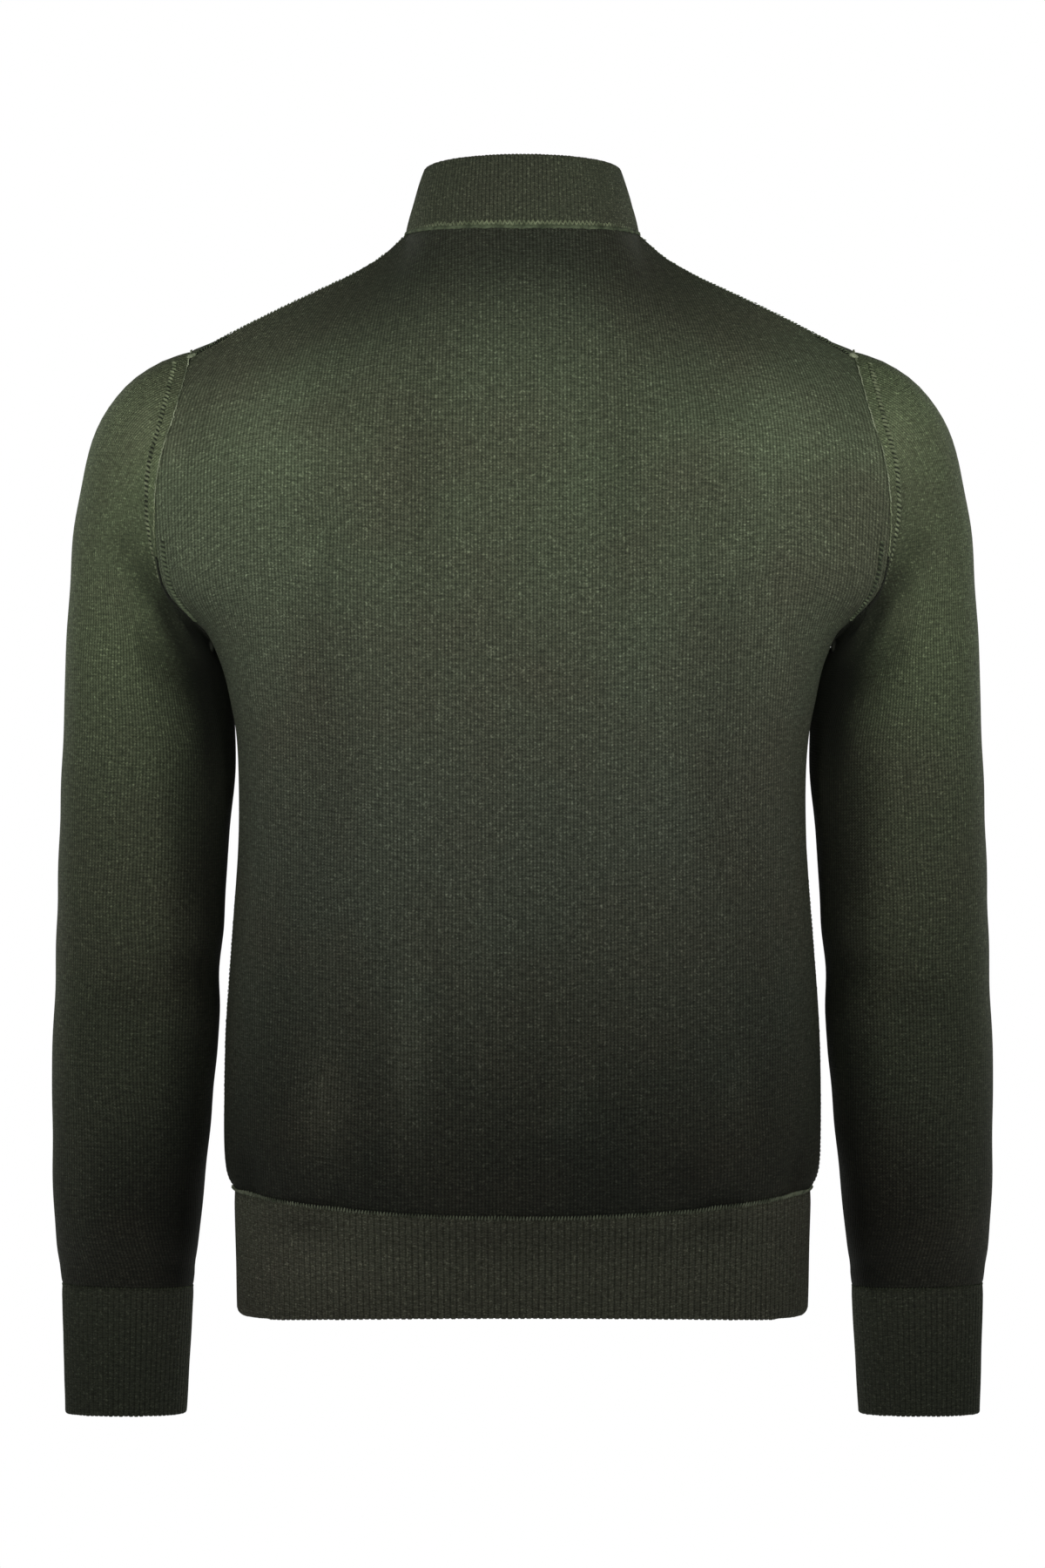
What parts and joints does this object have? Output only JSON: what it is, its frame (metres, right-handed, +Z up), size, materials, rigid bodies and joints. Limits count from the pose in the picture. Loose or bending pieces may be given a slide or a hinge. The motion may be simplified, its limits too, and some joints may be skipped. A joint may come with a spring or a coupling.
{
  "type": "zip-up cardigan",
  "caption": "Long-sleeved fine-knit cardigan with a ribbed stand collar, cuffs and hem and a full-length zip, as worn and hollow.",
  "frame": {"origin": "middle of the neck opening, level with the neck ends of the two shoulder seams, where the wearer's shoulders hold the garment up", "axes": "+Z up, -Y towards the wearer's front (the zip), +X towards the wearer's left"},
  "size_m": [0.573, 0.2339, 0.7615],
  "materials": {
    "knit": "fine jersey knit in garment-dyed olive green, matt with a faint nap",
    "rib": "2x2 rib knit in the same olive green yarn",
    "zip_tape": "woven zip tape dyed to match",
    "zip_metal": "dark nickel-plated zip metal, satin"
  },
  "bodies": {
    "garment": {"back": "knit", "front_left": "knit", "front_right": "knit", "sleeve_left": "knit", "sleeve_right": "knit", "cuff_left": "rib", "cuff_right": "rib", "hem_back": "rib", "hem_front_left": "rib", "hem_front_right": "rib", "collar": "rib", "zip_tape_left": "zip_tape", "zip_tape_right": "zip_tape", "zip_teeth": "zip_metal", "zip_box": "zip_metal", "zip_stop_left": "zip_metal", "zip_stop_right": "zip_metal", "zip_slider": "zip_metal"},
    "pull_tab": {"zip_pull": "zip_metal"}
  },
  "joints": [
    {"name": "pull_hinge", "type": "hinge", "parent": "garment", "child": "pull_tab", "pos_m": [0, -0.07069, -0.03116], "axis": [-1, 0, 0], "range_deg": [0, 160]}
  ]
}
